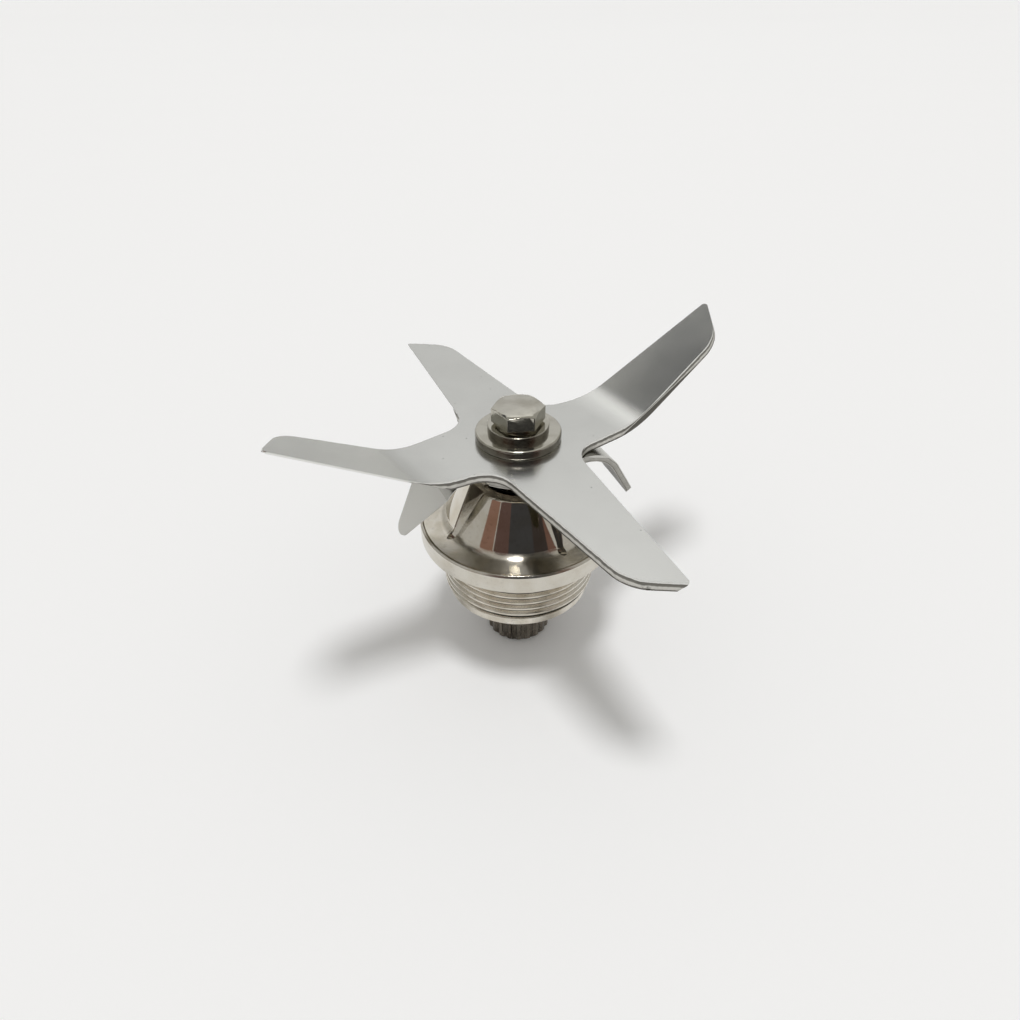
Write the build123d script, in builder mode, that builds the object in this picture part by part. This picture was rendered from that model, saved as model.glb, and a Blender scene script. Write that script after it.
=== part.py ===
"""Blade assembly of a kitchen blender.

Two clamped cutting blades turn on a splined shaft, which runs in two sealed ball bearings inside a
threaded housing. Millimetres, +Z up. Z is the axis of the shaft, and Z = 0 is the foot of its spline.
"""

import os
from math import asin, atan, cos, degrees, hypot, radians, sin, sqrt, tan

from build123d import *

os.makedirs("parts", exist_ok=True)

# Housing: threaded barrel, flange and fluted cone
barrel_foot_height = 15.5
barrel_radius = 17.75
barrel_length = 15.5
barrel_chamfer = 0.5
flange_radius = 22.6
flange_rim_height = 4.75
flange_edge = 0.4
flange_crown = 0.15
cone_base_radius = 17.0
cone_top_wall = 3.1
cone_height = 10.7
cone_top_edge = 0.8
cone_root_fillet = 2.2
flute_count = 4
flute_azimuth = -148
flute_top_depth = 1.5
flute_foot_depth = 0.7
flute_top_width = 5.5
flute_foot_width = 1.5
flute_end_radius = 0.95
flute_lean = 19

# Ball bearings, two of the same size
bearing_bore_radius = 5.0
bearing_outer_radius = 11.0
bearing_width = 6.0
inner_race_wall = 1.8
outer_race_wall = 1.7
ball_fill = 0.64
ball_count = 9
ball_clearance = 0.08
cage_thickness = 0.9
cage_fill = 0.7
shield_thickness = 0.3
shield_inset = 0.1
shield_gap = 0.25
sleeve_wall = 1.3
seat_clearance = 0.02

# Retaining ring and shaft seal
ring_inset = 1.2
ring_thickness = 1.0
ring_width = 1.9
ring_groove_depth = 0.5
ring_gap_angle = 24
ring_lug_radius = 1.35
ring_lug_hole_radius = 0.6
seal_section = 1.8
seal_inset = 0.4
seal_mouth_depth = 4.0
seal_wall = 0.8
seal_lip_clearance = 0.05

# Drive shaft and blade spacer
spline_teeth = 20
spline_tip_radius = 7.75
spline_depth = 0.95
spline_tooth_tip = 0.9
spline_tooth_root = 1.55
spline_chamfer = 0.9
spline_reach = 0.6
shaft_shoulder = 1.4
shaft_flat_ratio = 0.8
shaft_top_gap = 0.5
tapped_depth = 18.0
centre_hole_radius = 1.6
spacer_tube_wall = 1.0
passage_clearance = 0.4
passage_length = 4.6
collar_gap = 0.6
spacer_collar_wall = 3.0
spacer_collar_height = 4.9

# Upper blade: one sheet, two flat arms and two arms bent up
upper_thickness = 2.2
flat_arm_azimuth = -56
flat_arm_tip = 53.9
flat_arm_tip_offset = -2.1
flat_arm_trailing = 10.4
bent_arm_azimuth = 37
bent_arm_start = 18.4
bent_arm_radius = 20.0
bent_arm_tilt = 30
bent_arm_tip = 58.1
bent_arm_tip_offset = -2.0
bent_arm_trailing = 11.2
arm_root = 18.0
arm_root_leading = 5.2
arm_end_angle = 51
arm_corner_radius = 9.0
flat_tip_radius = 0.5
bent_tip_radius = 0.9
crotch_radius = 6.5
ground_edge_root = 19.0
flat_edge_angle = 46
bent_edge_angle = 24
edge_run_out = 10.0
ground_edge_land = 0.12

# Lower blade: one thinner sheet, two arms that curl down
lower_thickness = 1.5
lower_azimuth = 25
lower_hub_radius = 14.0
lower_trailing = 10.3
lower_leading = 6.3
lower_bend_start = 11.2
lower_bend_radius = 9.6
lower_bend_tilt = -57
lower_tip_reach = 12.4
lower_tip_offset = -3.4
lower_tip_radius = 2.75

# Bolt and washers
blade_hole_clearance = 0.08
bolt_radius = 3.0
bolt_length = 16.0
bolt_flats = 10.0
bolt_head_height = 4.0
bolt_turn = 6
bolt_face_ratio = 0.94
bolt_chamfer_angle = 20
bolt_bearing_ratio = 0.9
bolt_bearing_height = 0.6
thread_clearance = 0.05
washer_clearance = 0.2
clamp_washer_radius = 9.25
clamp_washer_thickness = 2.1
clamp_washer_edge = 0.5
spring_washer_radius = 6.6
spring_washer_thickness = 1.6
spring_washer_slit = 0.7
spring_washer_azimuth = 75

# Heights of the stack, from the foot up
flange_height = barrel_foot_height + barrel_length
crown_height = flange_height + flange_rim_height
cone_foot = crown_height + flange_crown
cone_top = cone_foot + cone_height
seal_floor = cone_top - seal_mouth_depth
bearing_seat_height = seal_floor - passage_length
upper_bearing_height = bearing_seat_height - bearing_width
ring_height = barrel_foot_height + ring_inset
lower_bearing_height = ring_height + ring_thickness
sleeve_height = lower_bearing_height + bearing_width
sleeve_length = upper_bearing_height - sleeve_height
collar_foot = cone_top + collar_gap
spacer_top = collar_foot + spacer_collar_height
lower_blade_top = spacer_top + lower_thickness
upper_blade_top = lower_blade_top + upper_thickness
clamp_washer_top = upper_blade_top + clamp_washer_thickness
bolt_seat = clamp_washer_top + spring_washer_thickness
shaft_top = upper_blade_top - shaft_top_gap
spline_top = barrel_foot_height + spline_reach

# Radii that follow from the fits
shaft_radius = bearing_bore_radius - seat_clearance
shaft_flats = 2 * shaft_flat_ratio * shaft_radius
shaft_shoulder_radius = bearing_bore_radius + shaft_shoulder
spline_root_radius = spline_tip_radius - spline_depth
bearing_seat_radius = bearing_outer_radius + seat_clearance
inner_race_radius = bearing_bore_radius + inner_race_wall
outer_race_radius = bearing_outer_radius - outer_race_wall
ball_radius = ball_fill * (outer_race_radius - inner_race_radius)
spacer_tube_radius = bearing_bore_radius + spacer_tube_wall
spacer_collar_radius = bearing_bore_radius + spacer_collar_wall
shaft_passage_radius = spacer_tube_radius + passage_clearance
seal_radius = spacer_tube_radius + seal_section
seal_height = seal_mouth_depth - seal_inset
cone_top_radius = seal_radius + cone_top_wall
washer_hole_radius = bolt_radius + washer_clearance
bearing_relief_radius = outer_race_radius - shield_gap
bearing_relief_height = 0.8
ball_pitch_radius = (inner_race_radius + outer_race_radius) / 2
race_groove_radius = ball_radius + ball_clearance
cone_angle = degrees(atan((cone_base_radius - cone_top_radius) / cone_height))


def radial(azimuth):
    """Unit vector that points away from the axis at an azimuth."""
    return Vector(cos(radians(azimuth)), sin(radians(azimuth)), 0)


def sideways(azimuth):
    """Unit vector square to the radial one, the way the azimuth grows."""
    return Vector(-sin(radians(azimuth)), cos(radians(azimuth)), 0)


def sheet_plane(azimuth, reach, height, tilt=0):
    """Plane on a sheet's top face: X runs out along the arm, which rises by the tilt."""
    along = radial(azimuth) * cos(radians(tilt)) + Vector(0, 0, sin(radians(tilt)))
    normal = radial(azimuth) * -sin(radians(tilt)) + Vector(0, 0, cos(radians(tilt)))
    origin = radial(azimuth) * reach + Vector(0, 0, height)
    return Plane(origin=origin, x_dir=along, z_dir=normal)


def bend_end(start, radius, tilt):
    """Reach and rise of the top face where a bend that starts flat has turned by the tilt."""
    turn = radians(abs(tilt))
    rise = radius * (1 - cos(turn))
    return start + radius * sin(turn), rise if tilt > 0 else -rise


def bent_section(azimuth, height, start, radius, tilt, thickness):
    """Section of a sheet that is flat over the hub and bends the same way at both ends."""
    across = Plane(origin=(0, 0, height), x_dir=radial(azimuth), z_dir=-sideways(azimuth))
    way = 1 if tilt > 0 else -1
    turn = radians(abs(tilt))
    top_radius = radius
    bottom_radius = radius + way * thickness
    middle = way * radius
    top_end = (start + top_radius * sin(turn), middle - way * top_radius * cos(turn))
    top_mid = (start + top_radius * sin(turn / 2), middle - way * top_radius * cos(turn / 2))
    low_end = (start + bottom_radius * sin(turn), middle - way * bottom_radius * cos(turn))
    low_mid = (start + bottom_radius * sin(turn / 2), middle - way * bottom_radius * cos(turn / 2))
    with BuildSketch(across) as section:
        with BuildLine():
            Line((0, 0), (start, 0))
            ThreePointArc((start, 0), top_mid, top_end)
            Line(top_end, low_end)
            ThreePointArc(low_end, low_mid, (start, -thickness))
            Line((start, -thickness), (0, -thickness))
            mirror(about=Plane.YZ)
        make_face()
    return section.sketch


def ground_edge_plane(plane, root, tip, angle):
    """Plane of the bevel ground under an arm's leading edge, which runs from root to tip."""
    start = plane.from_local_coords(root)
    finish = plane.from_local_coords(tip)
    along = (finish - start).normalized()
    up = plane.z_dir
    outward = along.cross(up) * -1
    slope = radians(angle)
    facing = outward * sin(slope) - up * cos(slope)
    return Plane(origin=start - up * ground_edge_land, x_dir=along, z_dir=facing)


def arm_outline(tip, tip_offset, tip_radius, trailing, root, root_leading):
    """Outline of an arm in its sheet: straight trailing edge, slanted end, leading tip just blunted."""
    end_run = (trailing + tip_offset) / tan(radians(arm_end_angle))
    corner = (tip - end_run, -trailing)
    with BuildSketch() as outline:
        with BuildLine():
            Polyline(
                (root, -trailing), corner, (tip, tip_offset), (root, root_leading), close=True
            )
        make_face()
        fillet(outline.vertices().sort_by_distance(corner)[0], arm_corner_radius)
        fillet(outline.vertices().sort_by_distance((tip, tip_offset))[0], tip_radius)
    return outline.sketch


def shaft_hole(height, thickness):
    """Two-flat hole of a blade, as a solid to take away."""
    radius = shaft_radius + blade_hole_clearance
    with BuildPart() as hole:
        with BuildSketch(Plane.XY.offset(height - 2 * thickness)):
            Circle(radius)
            Rectangle(2 * radius, shaft_flats + 2 * blade_hole_clearance, mode=Mode.INTERSECT)
        extrude(amount=3 * thickness)
    return hole.part


# Housing
with BuildPart() as housing:
    with BuildSketch(Plane.XZ) as housing_section:
        with BuildLine():
            Polyline(
                (bearing_seat_radius, barrel_foot_height),
                (barrel_radius - barrel_chamfer, barrel_foot_height),
                (barrel_radius, barrel_foot_height + barrel_chamfer),
                (barrel_radius, flange_height),
                (flange_radius - flange_edge, flange_height),
                (flange_radius, flange_height + flange_edge),
                (flange_radius, crown_height - flange_edge),
                (flange_radius - flange_edge, crown_height),
                (cone_base_radius, cone_foot),
                (cone_top_radius, cone_top),
                (seal_radius, cone_top),
                (seal_radius, seal_floor),
                (shaft_passage_radius, seal_floor),
                (shaft_passage_radius, bearing_seat_height + bearing_relief_height),
                (bearing_relief_radius, bearing_seat_height + bearing_relief_height),
                (bearing_relief_radius, bearing_seat_height),
                (bearing_seat_radius, bearing_seat_height),
                close=True,
            )
        make_face()
        cone_root = (cone_base_radius, cone_foot)
        cone_rim = (cone_top_radius, cone_top)
        fillet(housing_section.vertices().sort_by_distance(cone_root)[0], cone_root_fillet)
        fillet(housing_section.vertices().sort_by_distance(cone_rim)[0], cone_top_edge)
    revolve(axis=Axis.Z)
    with BuildSketch(Plane.XY.offset(ring_height)):
        Circle(bearing_seat_radius + ring_groove_depth)
    extrude(amount=ring_thickness, mode=Mode.SUBTRACT)
    slant = hypot(cone_height, cone_base_radius - cone_top_radius)
    floor_angle = cone_angle + degrees(atan((flute_top_depth - flute_foot_depth) / slant))
    for step in range(flute_count):
        azimuth = flute_azimuth + step * 360 / flute_count
        outward = radial(azimuth) * cos(radians(floor_angle)) + Vector(0, 0, sin(radians(floor_angle)))
        foot = radial(azimuth) * cone_base_radius + Vector(0, 0, cone_foot)
        # The floor leans, so that a flute is deep along one wall and fades out at the other
        side = sideways(azimuth)
        lean = radians(flute_lean)
        corner = foot - outward * flute_foot_depth + side * (flute_foot_width / 2)
        leaning_floor = Plane(origin=corner, x_dir=side * cos(lean) - outward * sin(lean),
                              z_dir=outward * cos(lean) + side * sin(lean))
        flare = (flute_top_width - flute_foot_width) / 2
        with BuildSketch(leaning_floor):
            with BuildLine():
                Polyline(
                    (-flute_foot_width, 0),
                    (0, 0),
                    (flare, 1.2 * slant),
                    (-flute_foot_width - flare, 1.2 * slant),
                    close=True,
                )
            make_face()
            with Locations((-flute_foot_width / 2, 0)):
                Circle(flute_end_radius)
        extrude(amount=5 * flute_top_depth, mode=Mode.SUBTRACT)
housing.part.label = "housing"
export_step(housing.part, "parts/housing.step")

# Shaft seal: an outer wall, a floor and a lip that leans in to the spacer
with BuildPart() as shaft_seal:
    lip_radius = spacer_tube_radius + seal_lip_clearance
    with BuildSketch(Plane.XZ):
        with BuildLine():
            Polyline(
                (seal_radius - seat_clearance, seal_floor),
                (seal_radius - seat_clearance, seal_floor + seal_height),
                (seal_radius - seal_wall, seal_floor + seal_height),
                (seal_radius - seal_wall, seal_floor + seal_wall),
                (lip_radius + seal_wall, seal_floor + seal_wall),
                (lip_radius + seal_wall / 2, seal_floor + seal_height * 0.8),
                (lip_radius, seal_floor + seal_height * 0.7),
                (lip_radius + seal_wall / 4, seal_floor),
                close=True,
            )
        make_face()
    revolve(axis=Axis.Z)
shaft_seal.part.label = "shaft_seal"
export_step(shaft_seal.part, "parts/shaft_seal.step")

# Two ball bearings
for name, foot in (("lower", lower_bearing_height), ("upper", upper_bearing_height)):
    middle = foot + bearing_width / 2

    with BuildPart() as outer_race:
        with BuildSketch(Plane.XZ):
            with Locations((outer_race_radius, foot)):
                Rectangle(bearing_outer_radius - outer_race_radius, bearing_width,
                          align=(Align.MIN, Align.MIN))
            with Locations((ball_pitch_radius, middle)):
                Circle(race_groove_radius, mode=Mode.SUBTRACT)
        revolve(axis=Axis.Z)
    outer_race.part.label = f"{name}_outer_race"
    export_step(outer_race.part, f"parts/{name}_outer_race.step")

    with BuildPart() as inner_race:
        with BuildSketch(Plane.XZ):
            with Locations((bearing_bore_radius, foot)):
                Rectangle(inner_race_radius - bearing_bore_radius, bearing_width,
                          align=(Align.MIN, Align.MIN))
            with Locations((ball_pitch_radius, middle)):
                Circle(race_groove_radius, mode=Mode.SUBTRACT)
        revolve(axis=Axis.Z)
    inner_race.part.label = f"{name}_inner_race"
    export_step(inner_race.part, f"parts/{name}_inner_race.step")

    with BuildPart() as balls:
        with Locations((0, 0, middle)):
            with PolarLocations(ball_pitch_radius, ball_count):
                Sphere(ball_radius)
    balls.part.label = f"{name}_balls"
    export_step(balls.part, f"parts/{name}_balls.step")

    with BuildPart() as cage:
        cage_width = cage_fill * bearing_width
        with BuildSketch(Plane.XY.offset(middle - cage_width / 2)):
            Circle(ball_pitch_radius + cage_thickness / 2)
            Circle(ball_pitch_radius - cage_thickness / 2, mode=Mode.SUBTRACT)
        extrude(amount=cage_width)
        with Locations((0, 0, middle)):
            with PolarLocations(ball_pitch_radius, ball_count):
                Cylinder(race_groove_radius, 4 * cage_thickness, rotation=(0, 90, 0), mode=Mode.SUBTRACT)
    cage.part.label = f"{name}_cage"
    export_step(cage.part, f"parts/{name}_cage.step")

    with BuildPart() as shields:
        shield_feet = (foot + shield_inset, foot + bearing_width - shield_inset - shield_thickness)
        for height in shield_feet:
            with BuildSketch(Plane.XY.offset(height)):
                Circle(outer_race_radius - seat_clearance)
                Circle(inner_race_radius + shield_gap, mode=Mode.SUBTRACT)
            extrude(amount=shield_thickness)
    shields.part.label = f"{name}_shields"
    export_step(shields.part, f"parts/{name}_shields.step")

# Distance sleeves between the bearings
with BuildPart() as inner_sleeve:
    with BuildSketch(Plane.XY.offset(sleeve_height)):
        Circle(bearing_bore_radius + sleeve_wall)
        Circle(bearing_bore_radius, mode=Mode.SUBTRACT)
    extrude(amount=sleeve_length)
inner_sleeve.part.label = "inner_sleeve"
export_step(inner_sleeve.part, "parts/inner_sleeve.step")

with BuildPart() as outer_sleeve:
    with BuildSketch(Plane.XY.offset(sleeve_height)):
        Circle(bearing_outer_radius)
        Circle(outer_race_radius, mode=Mode.SUBTRACT)
    extrude(amount=sleeve_length)
outer_sleeve.part.label = "outer_sleeve"
export_step(outer_sleeve.part, "parts/outer_sleeve.step")

# Retaining ring: an open ring in the barrel's groove, with a plier hole in each lug
with BuildPart() as retaining_ring:
    ring_outer = bearing_seat_radius + ring_groove_depth - seat_clearance
    ring_inner = ring_outer - ring_width
    lug_reach = ring_inner
    lug_angle = ring_gap_angle / 2 + degrees(asin(ring_lug_radius / lug_reach))
    with BuildSketch(Plane.XY.offset(ring_height)):
        Circle(ring_outer)
        Circle(ring_inner, mode=Mode.SUBTRACT)
        with BuildLine():
            Polyline(
                (0, 0),
                radial(-ring_gap_angle / 2) * 2 * ring_outer,
                radial(ring_gap_angle / 2) * 2 * ring_outer,
                close=True,
            )
        make_face(mode=Mode.SUBTRACT)
        with Locations(radial(lug_angle) * lug_reach, radial(-lug_angle) * lug_reach):
            Circle(ring_lug_radius)
            Circle(ring_lug_hole_radius, mode=Mode.SUBTRACT)
    extrude(amount=ring_thickness)
retaining_ring.part.label = "retaining_ring"
export_step(retaining_ring.part, "parts/retaining_ring.step")

# Drive shaft: splined stub, shoulder, journal and two-flat seat for the blades
with BuildPart() as drive_shaft:
    with BuildSketch():
        Circle(spline_root_radius)
        with PolarLocations(0, spline_teeth):
            Polygon(
                (spline_root_radius - spline_tooth_tip, -spline_tooth_root / 2),
                (spline_root_radius, -spline_tooth_root / 2),
                (spline_tip_radius, -spline_tooth_tip / 2),
                (spline_tip_radius, spline_tooth_tip / 2),
                (spline_root_radius, spline_tooth_root / 2),
                (spline_root_radius - spline_tooth_tip, spline_tooth_root / 2),
                align=None,
            )
    extrude(amount=spline_top)
    with BuildSketch(Plane.XZ):
        with BuildLine():
            Polyline(
                (spline_tip_radius - spline_chamfer, 0),
                (spline_tip_radius + spline_chamfer, 0),
                (spline_tip_radius + spline_chamfer, 2 * spline_chamfer),
                close=True,
            )
        make_face()
    revolve(axis=Axis.Z, mode=Mode.SUBTRACT)
    with BuildSketch(Plane.XY.offset(spline_top)):
        Circle(shaft_shoulder_radius)
    extrude(amount=lower_bearing_height - spline_top)
    with BuildSketch(Plane.XY.offset(lower_bearing_height)):
        Circle(shaft_radius)
    extrude(amount=spacer_top - lower_bearing_height)
    with BuildSketch(Plane.XY.offset(spacer_top)):
        Circle(shaft_radius)
        Rectangle(2 * shaft_radius, shaft_flats, mode=Mode.INTERSECT)
    extrude(amount=shaft_top - spacer_top)
    with BuildSketch(Plane.XY.offset(shaft_top)):
        Circle(bolt_radius + thread_clearance)
    extrude(amount=-tapped_depth, mode=Mode.SUBTRACT)
    with BuildSketch(Plane.XZ):
        with BuildLine():
            Polyline((0, 0), (centre_hole_radius, 0), (0, centre_hole_radius * sqrt(3)), close=True)
        make_face()
    revolve(axis=Axis.Z, mode=Mode.SUBTRACT)
drive_shaft.part.label = "drive_shaft"
export_step(drive_shaft.part, "parts/drive_shaft.step")

# Blade spacer: a bush through the seal with a collar under the blades
with BuildPart() as blade_spacer:
    with BuildSketch(Plane.XY.offset(bearing_seat_height)):
        Circle(spacer_tube_radius)
    extrude(amount=spacer_top - bearing_seat_height)
    with BuildSketch(Plane.XY.offset(collar_foot)):
        Circle(spacer_collar_radius)
    extrude(amount=spacer_collar_height)
    with BuildSketch(Plane.XY.offset(bearing_seat_height)):
        Circle(bearing_bore_radius)
    extrude(amount=spacer_top - bearing_seat_height, mode=Mode.SUBTRACT)
blade_spacer.part.label = "blade_spacer"
export_step(blade_spacer.part, "parts/blade_spacer.step")

# Lower blade
lower_reach, lower_drop = bend_end(lower_bend_start, lower_bend_radius, lower_bend_tilt)
with BuildPart() as lower_blade:
    extrude(
        bent_section(lower_azimuth, lower_blade_top, lower_bend_start, lower_bend_radius,
                     lower_bend_tilt, lower_thickness),
        amount=2 * lower_hub_radius,
        both=True,
    )
    with BuildSketch(Plane.XY.rotated((0, 0, lower_azimuth))):
        Circle(lower_hub_radius)
        with PolarLocations(0, 2):
            Polygon(
                (0, -lower_trailing),
                (2 * lower_reach, -lower_trailing),
                (2 * lower_reach, lower_leading),
                (0, lower_leading),
                align=None,
            )
    extrude(amount=2 * upper_blade_top, mode=Mode.INTERSECT)
    add(shaft_hole(lower_blade_top, lower_thickness), mode=Mode.SUBTRACT)
    for azimuth in (lower_azimuth, lower_azimuth + 180):
        arm = sheet_plane(azimuth, lower_reach, lower_blade_top + lower_drop, lower_bend_tilt)
        with BuildSketch(arm):
            with BuildLine():
                Line((0, -lower_trailing), (0, lower_leading))
                CenterArc((lower_tip_reach, lower_tip_offset), lower_tip_radius, 0, 360)
            make_hull()
        extrude(amount=-lower_thickness)
        lean = (lower_leading - lower_tip_offset) / lower_tip_reach
        edge_tip = (lower_tip_reach, lower_tip_offset + lower_tip_radius * sqrt(1 + lean * lean))
        with BuildSketch(ground_edge_plane(arm, (0, lower_leading), edge_tip, bent_edge_angle)):
            Rectangle(2 * lower_tip_reach, 8 * lower_thickness, align=(Align.MIN, Align.CENTER))
        extrude(amount=2 * lower_thickness, mode=Mode.SUBTRACT)
        # The same ground bevel, carried back round the bend
        bend_start = radial(azimuth) * lower_bend_start + Vector(0, 0, lower_blade_top)
        bend_axis = Axis(bend_start - Vector(0, 0, lower_bend_radius), sideways(azimuth))
        bevel_rise = tan(radians(bent_edge_angle))
        bevel_depth = ground_edge_land + 2 * lower_thickness
        edge_spare = lower_hub_radius - lower_leading
        with BuildSketch(Plane(origin=bend_start, x_dir=sideways(azimuth), z_dir=radial(azimuth))):
            Polygon(
                (lower_leading + edge_spare, edge_spare * bevel_rise - ground_edge_land),
                (lower_leading - 2 * lower_thickness / bevel_rise, -bevel_depth),
                (lower_leading + edge_spare, -bevel_depth),
                align=None,
            )
        revolve(axis=bend_axis, revolution_arc=-lower_bend_tilt, mode=Mode.SUBTRACT)
lower_blade.part.label = "lower_blade"
export_step(lower_blade.part, "parts/lower_blade.step")

# Upper blade
bent_reach, bent_rise = bend_end(bent_arm_start, bent_arm_radius, bent_arm_tilt)
bend_length = bent_arm_radius * radians(bent_arm_tilt)
bent_tip_reach = bent_arm_tip - bent_arm_start - bend_length
bent_leading_slope = (bent_arm_tip_offset - arm_root_leading) / (bent_arm_tip - arm_root)
bent_leading = arm_root_leading + bent_leading_slope * (bent_arm_start + bend_length - arm_root)
flat_leading_slope = (flat_arm_tip_offset - arm_root_leading) / (flat_arm_tip - arm_root)
flat_root_leading = arm_root_leading - flat_leading_slope * arm_root
with BuildPart() as upper_blade:
    extrude(
        bent_section(bent_arm_azimuth, upper_blade_top, bent_arm_start, bent_arm_radius,
                     bent_arm_tilt, upper_thickness),
        amount=1.5 * flat_arm_tip,
        both=True,
    )
    with BuildSketch() as blank:
        flat_arm = arm_outline(flat_arm_tip, flat_arm_tip_offset, flat_tip_radius,
                               flat_arm_trailing, 0, flat_root_leading)
        with Locations(Rotation(0, 0, flat_arm_azimuth), Rotation(0, 0, flat_arm_azimuth + 180)):
            add(flat_arm)
        for azimuth in (bent_arm_azimuth, bent_arm_azimuth + 180):
            out = radial(azimuth)
            side = sideways(azimuth)
            far = bent_reach + upper_thickness
            root_leading = arm_root_leading - bent_leading_slope * arm_root
            far_leading = bent_leading + bent_leading_slope * upper_thickness
            with BuildLine():
                Polyline(
                    side * -bent_arm_trailing,
                    out * far - side * bent_arm_trailing,
                    out * far + side * far_leading,
                    side * root_leading,
                    close=True,
                )
            make_face()
        fillet(blank.vertices().sort_by_distance((0, 0))[:4], crotch_radius)
    extrude(amount=2 * upper_blade_top, mode=Mode.INTERSECT)
    add(shaft_hole(upper_blade_top, upper_thickness), mode=Mode.SUBTRACT)
    for azimuth in (bent_arm_azimuth, bent_arm_azimuth + 180):
        arm = sheet_plane(azimuth, bent_reach, upper_blade_top + bent_rise, bent_arm_tilt)
        with BuildSketch(arm):
            add(arm_outline(bent_tip_reach, bent_arm_tip_offset, bent_tip_radius,
                            bent_arm_trailing, 0, bent_leading))
        extrude(amount=-upper_thickness)
        tip = (bent_tip_reach, bent_arm_tip_offset)
        # Carried back past the bend, the flat bevel runs out where the sheet curves away from it
        with BuildSketch(ground_edge_plane(arm, (0, bent_leading), tip, bent_edge_angle)):
            with Locations((-edge_run_out, 0)):
                Rectangle(2 * bent_tip_reach, 8 * upper_thickness, align=(Align.MIN, Align.CENTER))
        extrude(amount=2 * upper_thickness, mode=Mode.SUBTRACT)
    for azimuth in (flat_arm_azimuth, flat_arm_azimuth + 180):
        arm = sheet_plane(azimuth, 0, upper_blade_top)
        root = (ground_edge_root, arm_root_leading + flat_leading_slope * (ground_edge_root - arm_root))
        tip = (flat_arm_tip, flat_arm_tip_offset)
        with BuildSketch(ground_edge_plane(arm, root, tip, flat_edge_angle)):
            Rectangle(flat_arm_tip, 8 * upper_thickness, align=(Align.MIN, Align.CENTER))
        extrude(amount=2 * upper_thickness, mode=Mode.SUBTRACT)
upper_blade.part.label = "upper_blade"
export_step(upper_blade.part, "parts/upper_blade.step")

# Clamp washer, spring washer and bolt
with BuildPart() as clamp_washer:
    with BuildSketch(Plane.XY.offset(upper_blade_top)):
        Circle(clamp_washer_radius)
        Circle(washer_hole_radius, mode=Mode.SUBTRACT)
    extrude(amount=clamp_washer_thickness)
    rim_edges = clamp_washer.edges().filter_by(GeomType.CIRCLE).group_by(SortBy.RADIUS)[-1]
    fillet(rim_edges, clamp_washer_edge)
clamp_washer.part.label = "clamp_washer"
export_step(clamp_washer.part, "parts/clamp_washer.step")

with BuildPart() as spring_washer:
    with BuildSketch(Plane.XY.offset(clamp_washer_top)):
        Circle(spring_washer_radius)
        Circle(washer_hole_radius, mode=Mode.SUBTRACT)
    extrude(amount=spring_washer_thickness)
    slit_plane = Plane(
        origin=radial(spring_washer_azimuth) * spring_washer_radius
        + Vector(0, 0, clamp_washer_top + spring_washer_thickness / 2),
        x_dir=sideways(spring_washer_azimuth),
        z_dir=-radial(spring_washer_azimuth),
    )
    with BuildSketch(slit_plane):
        Rectangle(spring_washer_slit, 4 * spring_washer_thickness, rotation=30)
    extrude(amount=spring_washer_radius - washer_hole_radius / 2, both=True, mode=Mode.SUBTRACT)
spring_washer.part.label = "spring_washer"
export_step(spring_washer.part, "parts/spring_washer.step")

with BuildPart() as hex_bolt:
    corner_radius = bolt_flats / sqrt(3)
    face_radius = bolt_face_ratio * bolt_flats / 2
    bolt_top = bolt_seat + bolt_head_height
    outside = 1.5 * corner_radius
    with BuildSketch(Plane.XY.offset(bolt_seat + bolt_bearing_height)):
        RegularPolygon(corner_radius, 6, rotation=bolt_turn)
    extrude(amount=bolt_head_height - bolt_bearing_height)
    with BuildSketch(Plane.XZ):
        with BuildLine():
            Polyline(
                (0, bolt_seat),
                (outside, bolt_seat),
                (outside, bolt_top - (outside - face_radius) * tan(radians(bolt_chamfer_angle))),
                (face_radius, bolt_top),
                (0, bolt_top),
                close=True,
            )
        make_face()
    revolve(axis=Axis.Z, mode=Mode.INTERSECT)
    with BuildSketch(Plane.XY.offset(bolt_seat)):
        Circle(bolt_bearing_ratio * bolt_flats / 2)
    extrude(amount=bolt_bearing_height)
    with BuildSketch(Plane.XY.offset(bolt_seat)):
        Circle(bolt_radius)
    extrude(amount=-bolt_length)
hex_bolt.part.label = "hex_bolt"
export_step(hex_bolt.part, "parts/hex_bolt.step")
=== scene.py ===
"""Looks of a blender blade assembly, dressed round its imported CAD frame. Metres, +Z up."""

from math import asin, atan2, cos, degrees, hypot, radians, sin, sqrt, tan

import bmesh
import bpy
from mathutils import Matrix, Vector


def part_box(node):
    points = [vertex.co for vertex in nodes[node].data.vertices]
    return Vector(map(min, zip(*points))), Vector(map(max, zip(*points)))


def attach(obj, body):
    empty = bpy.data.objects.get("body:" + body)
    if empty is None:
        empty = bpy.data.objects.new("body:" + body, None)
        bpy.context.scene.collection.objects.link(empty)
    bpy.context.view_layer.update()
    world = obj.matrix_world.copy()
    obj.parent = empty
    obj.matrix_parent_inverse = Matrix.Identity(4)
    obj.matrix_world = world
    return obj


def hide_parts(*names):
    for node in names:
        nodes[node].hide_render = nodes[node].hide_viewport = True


MM = 0.001
# Points of a mesh that lie closer than this are one
WELD = 0.002 * MM
# Blender's own name for the weights that a Bevel modifier reads
EDGE_WEIGHT = "bevel_weight_edge"
# Sockets of a Mix node between colours: the first, the second and the result
FIRST, SECOND, MIXED = 6, 7, 2

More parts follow.
